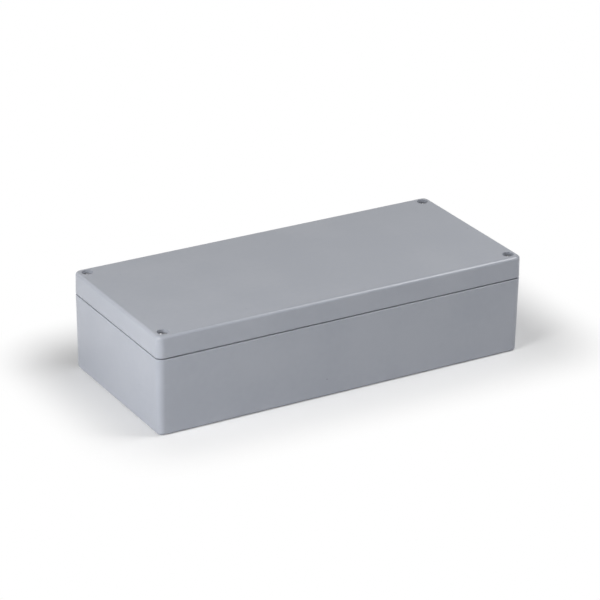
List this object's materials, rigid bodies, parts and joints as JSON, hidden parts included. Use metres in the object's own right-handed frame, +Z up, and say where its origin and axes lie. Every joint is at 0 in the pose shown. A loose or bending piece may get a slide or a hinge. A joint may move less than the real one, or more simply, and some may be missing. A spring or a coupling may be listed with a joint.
{
  "type": "die cast aluminium box",
  "caption": "Long sealed die-cast aluminium enclosure: deep drafted base, shallow lift-off lid with a tongue-and-groove gasket rim and captive corner screws.",
  "frame": {"origin": "centre of the underside, on the surface the box stands on", "axes": "+X along the length, to the right as the long front is faced; +Y from the front to the back; +Z up, the way the lid lifts off"},
  "size_m": [0.36, 0.16, 0.091],
  "materials": {
    "coated_casting": "satin",
    "gasket": "matte",
    "stainless_screw": "satin",
    "keeper_ring": "satin",
    "zinc_steel": "satin"
  },
  "bodies": {
    "base": {"base_casting": "coated_casting", "earth_screw": "zinc_steel", "earth_spring_washer": "zinc_steel", "earth_washer": "zinc_steel"},
    "lid": {"lid_casting": "coated_casting", "lid_gasket": "gasket", "screw_keeper_front_left": "keeper_ring", "screw_keeper_front_right": "keeper_ring", "screw_keeper_back_left": "keeper_ring", "screw_keeper_back_right": "keeper_ring"},
    "screw_front_left": {"lid_screw_front_left": "stainless_screw"},
    "screw_front_right": {"lid_screw_front_right": "stainless_screw"},
    "screw_back_left": {"lid_screw_back_left": "stainless_screw"},
    "screw_back_right": {"lid_screw_back_right": "stainless_screw"}
  },
  "joints": [
    {"name": "lid_lift", "type": "slide", "parent": "base", "child": "lid", "axis": [0, 0, 1], "range_m": [0, 0.1]},
    {"name": "screw_turn_front_left", "type": "hinge", "parent": "lid", "child": "screw_front_left", "pos_m": [-0.1705, -0.0705, 0.0845], "axis": [0, 0, 1], "continuous": true},
    {"name": "screw_turn_front_right", "type": "hinge", "parent": "lid", "child": "screw_front_right", "pos_m": [0.1705, -0.0705, 0.0845], "axis": [0, 0, 1], "continuous": true},
    {"name": "screw_turn_back_left", "type": "hinge", "parent": "lid", "child": "screw_back_left", "pos_m": [-0.1705, 0.0705, 0.0845], "axis": [0, 0, 1], "continuous": true},
    {"name": "screw_turn_back_right", "type": "hinge", "parent": "lid", "child": "screw_back_right", "pos_m": [0.1705, 0.0705, 0.0845], "axis": [0, 0, 1], "continuous": true}
  ]
}
